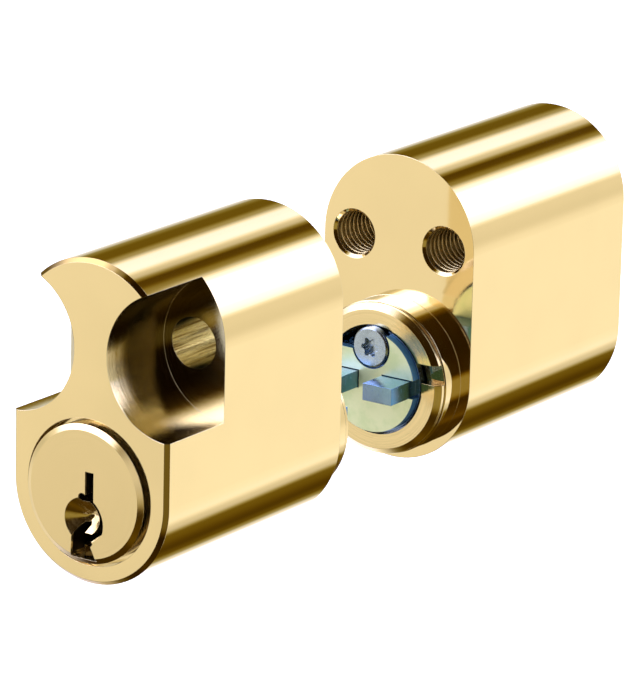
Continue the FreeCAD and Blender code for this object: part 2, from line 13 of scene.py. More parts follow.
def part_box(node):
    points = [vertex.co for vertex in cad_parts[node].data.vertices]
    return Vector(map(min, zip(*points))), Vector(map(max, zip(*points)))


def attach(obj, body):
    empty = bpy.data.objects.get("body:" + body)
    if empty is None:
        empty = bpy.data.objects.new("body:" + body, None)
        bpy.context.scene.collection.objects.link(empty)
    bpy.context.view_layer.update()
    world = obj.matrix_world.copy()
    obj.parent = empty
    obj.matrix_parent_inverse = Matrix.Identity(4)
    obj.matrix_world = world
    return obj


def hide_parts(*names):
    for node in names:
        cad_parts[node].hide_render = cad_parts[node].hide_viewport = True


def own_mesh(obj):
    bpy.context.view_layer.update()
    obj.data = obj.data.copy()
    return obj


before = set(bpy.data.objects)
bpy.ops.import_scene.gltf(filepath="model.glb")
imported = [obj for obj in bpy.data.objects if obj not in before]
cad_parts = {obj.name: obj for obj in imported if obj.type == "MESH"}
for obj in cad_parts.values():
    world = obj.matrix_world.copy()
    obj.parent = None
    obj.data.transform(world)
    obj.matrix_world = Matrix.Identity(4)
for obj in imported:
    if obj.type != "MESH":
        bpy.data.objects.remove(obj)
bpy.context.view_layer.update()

bl_info = {
    "name": "Oval lock cylinder set",
    "version": (1, 0, 0),
    "blender": (4, 5, 0),
    "location": "View3D > Sidebar > Cylinder",
    "description": "Finishes, fixing threads, pin springs and studio for an oval lock cylinder set",
    "category": "Object",
}

MM = 0.001
HALVES = ("near", "far")
PIN_COUNT = 6
HALF_BOX = {half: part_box(half + "_housing") for half in HALVES}
BODY_HALF_WIDTH = HALF_BOX["near"][1].x
SCREW_ROW_Z = HALF_BOX["near"][1].z - BODY_HALF_WIDTH
NEAR_FRONT_Y = HALF_BOX["near"][0].y
# The mounting face of the far half lies behind its collar.
COLLAR_HEIGHT = HALF_BOX["near"][1].y
FAR_FACE_Y = HALF_BOX["far"][0].y + COLLAR_HEIGHT
MID_GAP_Y = FAR_FACE_Y / 2.0

# How far from a surface the mask of that surface still reaches.
WALL_SKIN = 0.04 * MM
FLOOR_SKIN = 0.03 * MM
CONE_SKIN = 0.06 * MM
# Share of a normal that lies along Y: an end face or a plug's head has more than its own limit,
# and a chamfer differs from CHAMFER_FACING by less than the spread.
FACE_FACING = 0.9
HEAD_FACING = 0.97
CHAMFER_FACING = 0.65
CHAMFER_SPREAD = 0.25
# Bands at the ends of a body: its polished mounting face, and its front edge.
SEAT_ZONE = 0.2 * MM
FRONT_ZONE = 0.6 * MM
# The plug's keyway is painted near black with shade within this distance of the axis.
KEYWAY_REACH = 6.85 * MM


# ---------------------------------------------------------------- settings


def length_property(name, default, description):
    """A size in metres."""
    return bpy.props.FloatProperty(
        name=name, default=default, description=description, unit="LENGTH", precision=5, min=0.0
    )


def colour_property(name, default, description):
    """A linear colour."""
    return bpy.props.FloatVectorProperty(
        name=name, default=default, description=description, subtype="COLOR", size=3, min=0.0, max=1.0
    )


def amount_property(name, default, description):
    """A share between 0 and 1."""
    return bpy.props.FloatProperty(
        name=name, default=default, description=description, subtype="FACTOR", min=0.0, max=1.0, precision=3
    )


def angle_property(name, degrees, description):
    """A turn, given here in degrees and kept in radians."""
    return bpy.props.FloatProperty(
        name=name, default=math.radians(degrees), description=description, subtype="ANGLE", unit="ROTATION"
    )


def power_property(name, default, description):
    """The power of a lamp in watts."""
    return bpy.props.FloatProperty(
        name=name, default=default, description=description, unit="POWER", min=0.0
    )


class BrassSettings(bpy.types.PropertyGroup):
    """Colours and finishes of the brass pieces."""

    polished: colour_property("Polished brass", (0.97, 0.752, 0.38), "Colour of the bodies")
    faced: colour_property("Faced brass", (0.965, 0.745, 0.375), "Colour of the plug and nose ring")
    bounced: colour_property("Inner reflection", (0.97, 0.87, 0.64), "Brass seen in other brass")
    # Painted shade: near-black brass for the keyway and for the bore round the plug.
    shadowed: colour_property("Keyway brass", (0.035, 0.024, 0.01), "Oiled brass inside the keyway")
    flank_roughness: amount_property("Flank", 0.06, "Roughness of the polished flanks")
    face_roughness: amount_property("Face", 0.13, "Roughness of the lapped end faces")
    seat_roughness: amount_property("Seat", 0.045, "Roughness of the polished mounting faces")
    pocket_roughness: amount_property("Pocket", 0.08, "Roughness of the milled pockets")
    pocket_radius: length_property("Pocket radius", 7.9 * MM, "Radius of the screw head pockets")
    pocket_depth: length_property("Pocket depth", 9.8 * MM, "Depth of the pockets behind the front")
    hole_spread: length_property("Hole spread", 6.0 * MM, "Sideways place of a screw hole")
    hole_radius: length_property("Hole radius", 2.86 * MM, "Just over the radius of a screw hole")
    hole_roughness: amount_property("Hole", 0.17, "Roughness of the drilled screw holes")
    tapped_radius: length_property("Tapped radius", 2.56 * MM, "Just over the radius of a fixing thread")
    tapped_depth: length_property("Tapped depth", 20.0 * MM, "Just over the depth of a fixing thread")
    tapped_roughness: amount_property("Tapped hole", 0.3, "Roughness between the thread's ridges")
    ridge_roughness: amount_property("Thread ridge", 0.4, "Roughness of the thread's ridges")
    # Painted shade: the body is painted near black within this radius of the axis.
    bore_radius: length_property("Bore radius", 6.6 * MM, "The plug's bore is dark within this radius")
    # Painted highlight along the edges, from the soft edge mask.
    edge_highlight: colour_property("Rubbed edges", (1.0, 0.86, 0.6), "Brass rubbed bright along its edges")
    # Painted shade: the bodies' front chamfers are darkened.
    chamfer_shade: colour_property("Front chamfer", (0.485, 0.33088, 0.114), "Duller brass on the front edges")
    milled: colour_property("Milled brass", (1.0, 0.82, 0.46), "Walls of the screw head pockets")
    # Painted shade on the pocket walls, deep in them and in their upper part.
    pocket_shade: colour_property("Oiled brass", (0.22, 0.165, 0.07), "Cutting oil left deep in the pockets")
    # Painted shade in the upper part of the fixing threads.
    thread_shade_colour: colour_property("Stained brass", (0.44, 0.33, 0.14), "Tapping oil left in the fixing threads")
    # Painted shade on the pocket floors, which take the paler colour of brass seen in brass.
    floor_shade: amount_property("Floor tone", 0.7, "Brightness of the duller pocket floor")
    streak_dark: colour_property("Dark streaks", (0.36, 0.252, 0.0936), "Dull brass in drilled holes")
    streak_bright: colour_property("Bright streaks", (0.9792, 0.93, 0.684), "Rubbed brass in drilled holes")
    head_roughness: amount_property("Plug face", 0.2, "Roughness of the plug's faced head")
    cone_roughness: amount_property("Plug sides", 0.11, "Roughness of the head's rim and key entry")
    keyway_roughness: amount_property("Keyway", 0.5, "Roughness of the keyway's walls")
    entry_drop: length_property("Entry drop", 2.8 * MM, "Conical key entry below the plug axis")
    entry_radius: length_property("Entry radius", 2.45 * MM, "Mouth of the conical key entry")
    entry_depth: length_property("Entry depth", 2.05 * MM, "Depth of the conical key entry")


class SteelSettings(bpy.types.PropertyGroup):
    """Colours of the driver, its plate, its screw and the pins."""

    driver: colour_property("Driver", (0.29, 0.42, 0.68), "Blue-grey zinc on the driver")
    # The darker driver sides are partly thicker film, partly painted shade.
    flank: colour_property("Driver sides", (0.10, 0.28, 0.47), "Thicker blue film on the driver's sides")
    plate: colour_property("Plate", (0.93, 0.98, 0.62), "Yellow-green passivation on the plate")
    plate_shade: colour_property("Plate shade", (0.80, 0.90, 0.52), "Thicker passivation in patches")
    plate_edge: colour_property("Plate edge", (0.22, 0.30, 0.26), "Darker film along the plate's edges")
    plate_metallic: amount_property("Plate metal", 0.75, "How metallic the plate's film looks")
    screw: colour_property("Screw", (0.58, 0.67, 0.75), "Bright zinc on the driver screw")
    # The darker screw sides and recess are partly thicker film, partly painted shade.
    screw_flank: colour_property("Screw sides", (0.174, 0.3015, 0.525), "Thicker film in the screw's recess")
    pin: colour_property("Pins", (0.62, 0.61, 0.60), "Turned steel of the driver pins")
    wire: colour_property("Wire", (0.55, 0.56, 0.58), "Drawn wire of the springs")


class ShapeSettings(bpy.types.PropertyGroup):
    """Sizes of the pieces that are made here."""

    thread_major: length_property("Thread radius", 2.52 * MM, "Outer radius of the fixing thread")
    thread_minor: length_property("Thread crest", 2.44 * MM, "Radius over the thread's crests")
    thread_pitch: length_property("Thread pitch", 0.8 * MM, "Pitch of the fixing thread")
    thread_start: length_property("Thread start", 0.5 * MM, "First crest below the mounting face")
    thread_length: length_property("Thread length", 17.6 * MM, "Length of cut thread")
    wire_radius: length_property("Wire radius", 0.14 * MM, "Radius of the spring wire")


class StudioSettings(bpy.types.PropertyGroup):
    """Camera, floor and light."""

    azimuth: angle_property("Azimuth", 34.426, "Camera's turn round the set")
    elevation: angle_property("Elevation", 16.237, "Camera's height over the axis")
    roll: angle_property("Roll", 1.355, "Camera's turn about its own axis")
    distance: length_property("Distance", 552.17 * MM, "Camera to target")
    target: bpy.props.FloatVectorProperty(
        name="Target", default=(0.0, 10.71 * MM, 6.55 * MM), subtype="TRANSLATION", unit="LENGTH",
        description="Point on the camera's axis",
    )
    lens: bpy.props.FloatProperty(
        name="Lens", default=264.4, description="Focal length in millimetres", subtype="DISTANCE_CAMERA",
        unit="CAMERA", min=1.0,
    )
    shift: bpy.props.FloatVectorProperty(
        name="Shift", default=(-0.0025, 0.0009), size=2, precision=4, description="Lens shift across and up"
    )
    floor_drop: length_property("Floor drop", 60.0 * MM, "Floor below the set")
    floor_size: length_property("Floor size", 6.0, "Side of the square floor")
    floor_colour: colour_property("Floor", (0.9, 0.9, 0.89), "Colour of the floor")
    floor_glow: amount_property("Floor glow", 0.45, "Light that the floor adds to what falls on it")
    brightness: bpy.props.FloatProperty(
        name="Brightness", default=1.0, description="Strength of the light tent", min=0.0
    )
    softbox_size: length_property("Softbox size", 0.6, "Side of each square softbox")
    key_power: power_property("Key softbox", 4.0, "Power of the softbox in front")
    fill_power: power_property("Fill softbox", 2.0, "Power of the softbox behind")


# ---------------------------------------------------------------- node helpers


def feed(tree, socket, value):
    """Links an output socket to an input, or sets the input to a plain value."""
    if isinstance(value, bpy.types.NodeSocket):
        tree.links.new(value, socket)
    else:
        socket.default_value = value


def math_node(tree, operation, *values):
    """One Math node; returns its output."""
    node = tree.nodes.new("ShaderNodeMath")
    node.operation = operation
    for socket, value in zip(node.inputs, values):
        feed(tree, socket, value)
    return node.outputs[0]


def product(tree, first, second):
    """Two values multiplied, which also joins two masks."""
    return math_node(tree, "MULTIPLY", first, second)


def blend_values(tree, mask, low, high):
    """The low value where the mask is 0, the high one where it is 1."""
    node = tree.nodes.new("ShaderNodeMix")
    node.data_type = "FLOAT"
    for index, value in ((0, mask), (2, low), (3, high)):
        feed(tree, node.inputs[index], value)
    return node.outputs[0]


def blend_colours(tree, mask, low, high):
    """The low colour where the mask is 0, the high one where it is 1."""
    node = tree.nodes.new("ShaderNodeMix")
    node.data_type = "RGBA"
    for index, value in ((0, mask), (6, low), (7, high)):
        if not isinstance(value, bpy.types.NodeSocket) and index > 0:
            value = (*value, 1.0)
        feed(tree, node.inputs[index], value)
    return node.outputs[2]


def ramp_values(tree, value, low, high, to_low=0.0, to_high=1.0):
    """Maps a value from one range to another, clamped and eased at both ends."""
    node = tree.nodes.new("ShaderNodeMapRange")
    node.interpolation_type = "SMOOTHSTEP"
    for index, given in enumerate((value, low, high, to_low, to_high)):
        feed(tree, node.inputs[index], given)
    return node.outputs[0]


def noise(tree, vector, scale, detail, roughness):
    """Fractal noise between 0 and 1."""
    node = tree.nodes.new("ShaderNodeTexNoise")
    feed(tree, node.inputs["Vector"], vector)
    feed(tree, node.inputs["Scale"], scale)
    node.inputs["Detail"].default_value = detail
    node.inputs["Roughness"].default_value = roughness
    return node.outputs["Fac"]


def split(tree, vector):
    """The X, Y and Z of a vector."""
    node = tree.nodes.new("ShaderNodeSeparateXYZ")
    tree.links.new(vector, node.inputs[0])
    return node.outputs


def combine(tree, x, y, z):
    """A vector from three values or outputs."""
    node = tree.nodes.new("ShaderNodeCombineXYZ")
    for socket, value in zip(node.inputs, (x, y, z)):
        feed(tree, socket, value)
    return node.outputs[0]


def object_coordinates(tree):
    """Places in metres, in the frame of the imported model."""
    return tree.nodes.new("ShaderNodeTexCoord").outputs["Object"]


def surface_normal(tree):
    """The surface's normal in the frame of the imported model."""
    return tree.nodes.new("ShaderNodeTexCoord").outputs["Normal"]


def stretched(tree, vector, scale):
    """The same coordinates, scaled by different amounts along X, Y and Z."""
    node = tree.nodes.new("ShaderNodeMapping")
    tree.links.new(vector, node.inputs["Vector"])
    node.inputs["Scale"].default_value = scale
    return node.outputs[0]


# ---------------------------------------------------------------- shared shader groups


def new_group(name, inputs, outputs):
    """An empty shader node group with named float or vector sockets."""
    tree = bpy.data.node_groups.new(name, "ShaderNodeTree")
    for socket_name, kind in inputs:
        tree.interface.new_socket(socket_name, in_out="INPUT", socket_type=kind)
    for socket_name, kind in outputs:
        tree.interface.new_socket(socket_name, in_out="OUTPUT", socket_type=kind)
    return tree, tree.nodes.new("NodeGroupInput").outputs, tree.nodes.new("NodeGroupOutput").inputs


def place_group(tree, name, values):
    """Puts a shared group into a material with its own values; returns its outputs."""
    node = tree.nodes.new("ShaderNodeGroup")
    node.node_tree = bpy.data.node_groups[name]
    for socket_name, value in values.items():
        feed(tree, node.inputs[socket_name], value)
    return node.outputs


def build_lathe_lines():
    """Turning marks: noise of the distance from an axis along Y and of the depth along it.

    Faces get rings and walls get lines round the axis. The lines drift slowly with the angle.
    """
    inputs = (("Vector", "NodeSocketVector"), ("Centre X", "NodeSocketFloat"),
              ("Centre Z", "NodeSocketFloat"), ("Density", "NodeSocketFloat"))
    outputs = (("Lines", "NodeSocketFloat"), ("Radius", "NodeSocketFloat"), ("Angle", "NodeSocketFloat"))
    tree, given, result = new_group("lathe_lines", inputs, outputs)
    x, y, z = split(tree, given["Vector"])
    across = math_node(tree, "SUBTRACT", x, given["Centre X"])
    up = math_node(tree, "SUBTRACT", z, given["Centre Z"])
    squares = math_node(tree, "ADD", product(tree, across, across), product(tree, up, up))
    radius = math_node(tree, "SQRT", squares)
    angle = math_node(tree, "ARCTAN2", across, up)
    place = combine(tree, product(tree, radius, given["Density"]), product(tree, y, given["Density"]),
                    product(tree, angle, 0.35))
    lines = noise(tree, place, 1.0, 4.0, 0.7)
    feed(tree, result["Lines"], ramp_values(tree, lines, 0.3, 0.7))
    feed(tree, result["Radius"], radius)
    feed(tree, result["Angle"], angle)


def build_polish_haze():
    """Lapping haze: faint long scratches along the axis, and slow cloudy patches."""
    inputs = (("Vector", "NodeSocketVector"), ("Fine", "NodeSocketFloat"), ("Cloud", "NodeSocketFloat"))
    outputs = (("Scratches", "NodeSocketFloat"), ("Clouds", "NodeSocketFloat"))
    tree, given, result = new_group("polish_haze", inputs, outputs)
    along = stretched(tree, given["Vector"], (1.0, 0.03, 1.0))
    feed(tree, result["Scratches"], noise(tree, along, given["Fine"], 5.0, 0.65))
    feed(tree, result["Clouds"], noise(tree, given["Vector"], given["Cloud"], 2.0, 0.5))


def build_soft_edge():
    """Broken edges: the normal rounded over a small radius, and a mask that is 1 along edges."""
    tree, given, result = new_group("soft_edge", (("Radius", "NodeSocketFloat"),),
                                    (("Normal", "NodeSocketVector"), ("Edge", "NodeSocketFloat")))
    bevel = tree.nodes.new("ShaderNodeBevel")
    bevel.samples = 6
    tree.links.new(given["Radius"], bevel.inputs["Radius"])
    flat = tree.nodes.new("ShaderNodeNewGeometry").outputs["Normal"]
    compare = tree.nodes.new("ShaderNodeVectorMath")
    compare.operation = "DOT_PRODUCT"
    tree.links.new(bevel.outputs[0], compare.inputs[0])
    tree.links.new(flat, compare.inputs[1])
    tree.links.new(bevel.outputs[0], result["Normal"])
    feed(tree, result["Edge"], ramp_values(tree, compare.outputs["Value"], 0.999, 0.9, 0.0, 1.0))


def build_zinc_grain():
    """Plated steel: a fine uneven grain, and patches about eight times as wide."""
    inputs = (("Vector", "NodeSocketVector"), ("Scale", "NodeSocketFloat"))
    outputs = (("Grain", "NodeSocketFloat"), ("Patches", "NodeSocketFloat"))
    tree, given, result = new_group("zinc_grain", inputs, outputs)
    wide = product(tree, given["Scale"], 0.12)
    feed(tree, result["Grain"], noise(tree, given["Vector"], given["Scale"], 5.0, 0.62))
    feed(tree, result["Patches"], noise(tree, given["Vector"], wide, 2.0, 0.5))


def build_axis_facing():
    """How squarely a surface faces along the axis, and a mask that is 0 on sides and 1 on faces."""
    tree, given, result = new_group("axis_facing", (("Normal", "NodeSocketVector"),),
                                    (("Facing", "NodeSocketFloat"), ("Face", "NodeSocketFloat")))
    facing = math_node(tree, "ABSOLUTE", split(tree, given["Normal"])[1])
    feed(tree, result["Facing"], facing)
    feed(tree, result["Face"], ramp_values(tree, facing, 0.5, 0.8))


def build_painted_thread_shade():
    """Painted shade: a mask that grows from the lower part of a fixing hole to its upper part."""
    tree, given, result = new_group("painted_thread_shade", (("Vector", "NodeSocketVector"),),
                                    (("Stain", "NodeSocketFloat"),))
    height = split(tree, given["Vector"])[2]
    feed(tree, result["Stain"],
         ramp_values(tree, height, SCREW_ROW_Z - 1.5 * MM, SCREW_ROW_Z + 1.2 * MM))


def build_shared_groups():
    """Builds every shared group once, for all materials."""
    if "lathe_lines" in bpy.data.node_groups:
        return
    build_lathe_lines()
    build_polish_haze()
    build_soft_edge()
    build_zinc_grain()
    build_axis_facing()
    build_painted_thread_shade()


# ---------------------------------------------------------------- finishes


def new_finish(name):
    """A node material with one Principled shader; returns the material, its tree and the shader."""
    build_shared_groups()
    material = bpy.data.materials.new(name)
    material.use_nodes = True
    tree = material.node_tree
    return material, tree, tree.nodes["Principled BSDF"]


def coat(tree, shader, colour, roughness, metallic=1.0):
    """Feeds a metal's colour and roughness to its shader."""
    feed(tree, shader.inputs["Base Color"], colour)
    feed(tree, shader.inputs["Roughness"], roughness)
    shader.inputs["Metallic"].default_value = metallic


def set_bump(tree, shader, height, depth, normal):
    """Feeds a Bump node of the given depth in metres over a base normal."""
    bump = tree.nodes.new("ShaderNodeBump")
    bump.inputs["Strength"].default_value = 1.0
    bump.inputs["Distance"].default_value = depth
    feed(tree, bump.inputs["Height"], height)
    feed(tree, bump.inputs["Normal"], normal)
    tree.links.new(bump.outputs[0], shader.inputs["Normal"])


def between_faces(tree, colour, pale):
    """Reflections of one brass face in another are paler than a face's own first reflection."""
    path = tree.nodes.new("ShaderNodeLightPath")
    return blend_colours(tree, path.outputs["Is Glossy Ray"], colour, pale)


def scaled(colour, tone):
    """A colour with its channels multiplied by a tone, at most 1."""
    return [min(1.0, channel * tone) for channel in colour]


def soft_edge(tree, radius):
    """The rounded normal and the edge mask of the shared group."""
    return place_group(tree, "soft_edge", {"Radius": radius})


def axis_facing(tree):
    """How squarely the surface faces along the axis, from the shared group."""
    return place_group(tree, "axis_facing", {"Normal": surface_normal(tree)})


def dress(material, *nodes):
    """Puts a finish on CAD nodes through their objects' material slots."""
    for node in nodes:
        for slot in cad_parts[node].material_slots:
            slot.link = "OBJECT"
            slot.material = material


def mirrored_lathe(tree, place, centre_x, density=0.0):
    """Lathe lines about one axis on each side of the body, in the row of the fixing screws."""
    x, y, z = split(tree, place)
    return place_group(tree, "lathe_lines", {
        "Vector": combine(tree, math_node(tree, "ABSOLUTE", x), y, z),
        "Centre X": centre_x, "Centre Z": SCREW_ROW_Z, "Density": density,
    })


def painted_pocket_shade(tree, depth, z):
    """Mask of the painted shade on the pocket walls: deep in them and in their upper part."""
    deep = ramp_values(tree, depth, 1.6 * MM, 3.8 * MM)
    upper = ramp_values(tree, z, SCREW_ROW_Z, SCREW_ROW_Z + 1.5 * MM)
    off_bottom = ramp_values(tree, z, SCREW_ROW_Z - 7.0 * MM, SCREW_ROW_Z - 5.0 * MM)
    return product(tree, off_bottom, math_node(tree, "MAXIMUM", deep, upper))


def finish_pockets(tree, brass, place, colour, roughness, height):
    """Milled walls with painted shade deep in them, floors painted with shade in a paler reflection colour,
    and streaky drilled holes of the near body's pockets.
    """
    pocket = mirrored_lathe(tree, place, BODY_HALF_WIDTH, 9000.0)
    hole = mirrored_lathe(tree, place, brass.hole_spread, 3500.0)
    _, y, z = split(tree, place)
    floor_y = NEAR_FRONT_Y + brass.pocket_depth
    in_circle = math_node(tree, "LESS_THAN", pocket["Radius"], brass.pocket_radius + WALL_SKIN)
    on_wall = product(tree, in_circle, math_node(tree, "LESS_THAN", y, floor_y + FLOOR_SKIN))
    on_floor = product(tree, in_circle, math_node(tree, "COMPARE", y, floor_y, FLOOR_SKIN))
    in_hole = product(tree, math_node(tree, "LESS_THAN", hole["Radius"], brass.hole_radius),
                      math_node(tree, "GREATER_THAN", y, floor_y + FLOOR_SKIN))
    # Painted shade: where the pocket walls are darkened.
    oil = painted_pocket_shade(tree, math_node(tree, "SUBTRACT", y, NEAR_FRONT_Y), z)
    streaks = noise(tree, combine(tree, hole["Angle"], product(tree, y, 9.0), 0.0), 6.0, 4.0, 0.7)

    marks = ramp_values(tree, pocket["Lines"], 0.0, 1.0, brass.pocket_roughness - 0.03,
                        brass.pocket_roughness + 0.05)
    roughness = blend_values(tree, on_wall, roughness, marks)
    roughness = blend_values(tree, in_hole, roughness, brass.hole_roughness)
    height = blend_values(tree, on_wall, height, pocket["Lines"])
    height = blend_values(tree, on_floor, height, product(tree, pocket["Lines"], 0.25))
    height = blend_values(tree, in_hole, height, product(tree, hole["Lines"], 2.0))

    drilled = blend_colours(tree, ramp_values(tree, streaks, 0.38, 0.54), brass.streak_dark,
                            brass.streak_bright)
    # The pocket walls get their painted shade here.
    colour = blend_colours(tree, on_wall, colour, blend_colours(tree, oil, brass.milled, brass.pocket_shade))
    # The pocket floor is painted darker in a paler reflection colour: painted shade and painted reflection.
    colour = blend_colours(tree, on_floor, colour, scaled(brass.bounced, brass.floor_shade))
    return blend_colours(tree, in_hole, colour, drilled), roughness, height


def thread_colour(tree, place, brass):
    """Cut brass that darkens towards the top of a fixing hole, with painted shade."""
    top_shade = place_group(tree, "painted_thread_shade", {"Vector": place})["Stain"]
    return blend_colours(tree, top_shade, brass.milled, brass.thread_shade_colour)


def finish_tapped_holes(tree, brass, place, colour, roughness):
    """Brass between the ridges of the far body's fixing threads, with painted shade towards the top."""
    hole = mirrored_lathe(tree, place, brass.hole_spread)
    y = split(tree, place)[1]
    in_thread = product(tree, math_node(tree, "LESS_THAN", hole["Radius"], brass.tapped_radius),
                        math_node(tree, "LESS_THAN", y, FAR_FACE_Y + brass.tapped_depth))
    colour = blend_colours(tree, in_thread, colour, thread_colour(tree, place, brass))
    return colour, blend_values(tree, in_thread, roughness, brass.tapped_roughness)


def body_finish(half, brass):
    """Polished brass of one body: mirror flanks, lapped end faces, a finer mounting face."""
    material, tree, shader = new_finish(half + "_polished_brass")
    place = object_coordinates(tree)
    haze = place_group(tree, "polish_haze", {"Vector": place, "Fine": 9000.0, "Cloud": 90.0})
    edge = soft_edge(tree, 0.07 * MM)
    facing = axis_facing(tree)["Facing"]
    from_middle = math_node(tree, "SUBTRACT", split(tree, place)[1], MID_GAP_Y)
    reach = math_node(tree, "ABSOLUTE", from_middle)
    on_face = math_node(tree, "GREATER_THAN", facing, FACE_FACING)
    on_seat = math_node(tree, "LESS_THAN", reach, MID_GAP_Y + SEAT_ZONE)
    polish = blend_values(tree, on_face, brass.flank_roughness, brass.face_roughness)
    polish = blend_values(tree, on_seat, polish, brass.seat_roughness)
    roughness = math_node(tree, "ADD", polish, ramp_values(tree, haze["Clouds"], 0.3, 0.75, -0.012, 0.02))
    height = product(tree, haze["Scratches"], 0.06)
    colour = blend_colours(tree, ramp_values(tree, haze["Clouds"], 0.35, 0.8), brass.polished,
                           scaled(brass.polished, 0.965))
    colour = between_faces(tree, colour, brass.bounced)
    if half == "near":
        colour, roughness, height = finish_pockets(tree, brass, place, colour, roughness, height)
    else:
        colour, roughness = finish_tapped_holes(tree, brass, place, colour, roughness)
    at_front = math_node(tree, "GREATER_THAN", reach, MID_GAP_Y - NEAR_FRONT_Y - FRONT_ZONE)
    chamfer = product(tree, at_front,
                      math_node(tree, "COMPARE", facing, CHAMFER_FACING, CHAMFER_SPREAD))
    bore = place_group(tree, "lathe_lines", {"Vector": place})
    in_bore = math_node(tree, "LESS_THAN", bore["Radius"], brass.bore_radius)
    # Painted shade: the front chamfer is darkened.
    colour = blend_colours(tree, chamfer, colour, brass.chamfer_shade)
    # Painted highlight: the edges are lightened.
    colour = blend_colours(tree, product(tree, edge["Edge"], 0.5), colour, brass.edge_highlight)
    # Painted shade: the body's bore round the plug is painted near black.
    colour = blend_colours(tree, in_bore, colour, brass.shadowed)
    coat(tree, shader, colour, roughness)
    set_bump(tree, shader, height, 0.0035 * MM, edge["Normal"])
    return material


def turned_finish(name, colour, density, depth, base, spread):
    """A metal lathe-turned about the plugs' axis, base to base + spread rough over its lines."""
    material, tree, shader = new_finish(name)
    lathe = place_group(tree, "lathe_lines", {"Vector": object_coordinates(tree), "Density": density})
    edge = soft_edge(tree, 0.05 * MM)
    tone = blend_colours(tree, lathe["Lines"], colour, scaled(colour, 0.95))
    # Painted highlight: the edges are lightened.
    tone = blend_colours(tree, edge["Edge"], tone, scaled(colour, 1.08))
    pale = [channel + (1.0 - channel) * 0.35 for channel in colour]
    coat(tree, shader, between_faces(tree, tone, pale),
         ramp_values(tree, lathe["Lines"], 0.0, 1.0, base, base + spread))
    set_bump(tree, shader, lathe["Lines"], depth, edge["Normal"])
    return material


def thread_finish(brass):
    """Cut brass of the tapped fixing threads, with painted shade towards the top."""
    material, tree, shader = new_finish("thread_brass")
    coat(tree, shader, thread_colour(tree, object_coordinates(tree), brass), brass.ridge_roughness)
    return material


def plug_finish(half, brass):
    """Faced brass head with a turned conical key entry; the keyway's walls are painted near black as shade.
    """
    material, tree, shader = new_finish(half + "_plug_brass")
    place = object_coordinates(tree)
    low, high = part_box(half + "_plug")
    inward, face_y = (1.0, low.y) if half == "near" else (-1.0, high.y)
    depth = product(tree, math_node(tree, "SUBTRACT", split(tree, place)[1], face_y), inward)
    entry = place_group(tree, "lathe_lines", {
        "Vector": place, "Centre Z": -brass.entry_drop, "Density": 14000.0,
    })
    faced = place_group(tree, "lathe_lines", {"Vector": place, "Density": 7000.0})
    edge = soft_edge(tree, 0.05 * MM)

    # The cone narrows evenly from its mouth to its tip.
    narrowing = product(tree, depth, brass.entry_radius / brass.entry_depth)
    cone_radius = math_node(tree, "SUBTRACT", brass.entry_radius, narrowing)
    off_cone = math_node(tree, "ABSOLUTE", math_node(tree, "SUBTRACT", entry["Radius"], cone_radius))
    on_cone = product(tree, math_node(tree, "LESS_THAN", off_cone, CONE_SKIN),
                      math_node(tree, "LESS_THAN", entry["Radius"], brass.entry_radius))
    within = math_node(tree, "LESS_THAN", faced["Radius"], KEYWAY_REACH)
    deep = product(tree, ramp_values(tree, depth, 0.05 * MM, 0.4 * MM), within)
    # Painted shade: the keyway's walls below the face are painted near black.
    dark = product(tree, deep, math_node(tree, "SUBTRACT", 1.0, on_cone))

    lines = blend_values(tree, on_cone, product(tree, faced["Lines"], 0.25), entry["Lines"])
    on_face = math_node(tree, "GREATER_THAN", axis_facing(tree)["Facing"], HEAD_FACING)
    roughness = math_node(tree, "ADD", product(tree, lines, 0.06),
                          blend_values(tree, on_face, brass.cone_roughness, brass.head_roughness))
    roughness = blend_values(tree, dark, roughness, brass.keyway_roughness)
    colour = blend_colours(tree, dark, brass.faced, brass.shadowed)
    # Painted highlight: the edges are lightened.
    colour = blend_colours(tree, product(tree, edge["Edge"], 0.4), colour, brass.edge_highlight)
    coat(tree, shader, between_faces(tree, colour, scaled(brass.bounced, 0.85)), roughness)
    set_bump(tree, shader, lines, 0.004 * MM, edge["Normal"])
    return material


def plate_finish(steel):
    """Yellow-green passivated zinc: cloudy colour, a fine rolled grain and darker edges and sides."""
    material, tree, shader = new_finish("passivated_zinc")
    place = object_coordinates(tree)
    clouds = noise(tree, place, 420.0, 4.0, 0.6)
    grain = noise(tree, stretched(tree, place, (0.12, 1.0, 1.0)), 9000.0, 3.0, 0.6)
    edge = soft_edge(tree, 0.06 * MM)
    colour = blend_colours(tree, ramp_values(tree, clouds, 0.42, 0.7), steel.plate, steel.plate_shade)
    # The plate's sides take the darker driver side colour: partly thicker film, partly painted shade.
    colour = blend_colours(tree, axis_facing(tree)["Face"], steel.flank, colour)
    colour = blend_colours(tree, product(tree, edge["Edge"], 0.7), colour, steel.plate_edge)
    coat(tree, shader, colour, ramp_values(tree, grain, 0.2, 0.8, 0.3, 0.42), steel.plate_metallic)
    set_bump(tree, shader, grain, 0.003 * MM, edge["Normal"])
    return material


def zinc_finish(name, colour, flank, base, grain_scale, depth):
    """Zinc-plated steel with a fine uneven grain; the sides get the darker flank colour, partly thicker film
    and partly painted shade.
    """
    material, tree, shader = new_finish(name)
    grain = place_group(tree, "zinc_grain", {"Vector": object_coordinates(tree), "Scale": grain_scale})
    edge = soft_edge(tree, 0.06 * MM)
    # Sides darker than faces: partly thicker film, partly painted shade.
    film = blend_colours(tree, axis_facing(tree)["Face"], flank, colour)
    tone = blend_colours(tree, ramp_values(tree, grain["Patches"], 0.35, 0.75), film, scaled(colour, 0.82))
    # Painted highlight: the edges are lightened.
    tone = blend_colours(tree, product(tree, edge["Edge"], 0.6), tone, scaled(colour, 1.35))
    coat(tree, shader, tone, ramp_values(tree, grain["Grain"], 0.25, 0.75, base, base + 0.12))
    set_bump(tree, shader, grain["Grain"], depth, edge["Normal"])
    return material


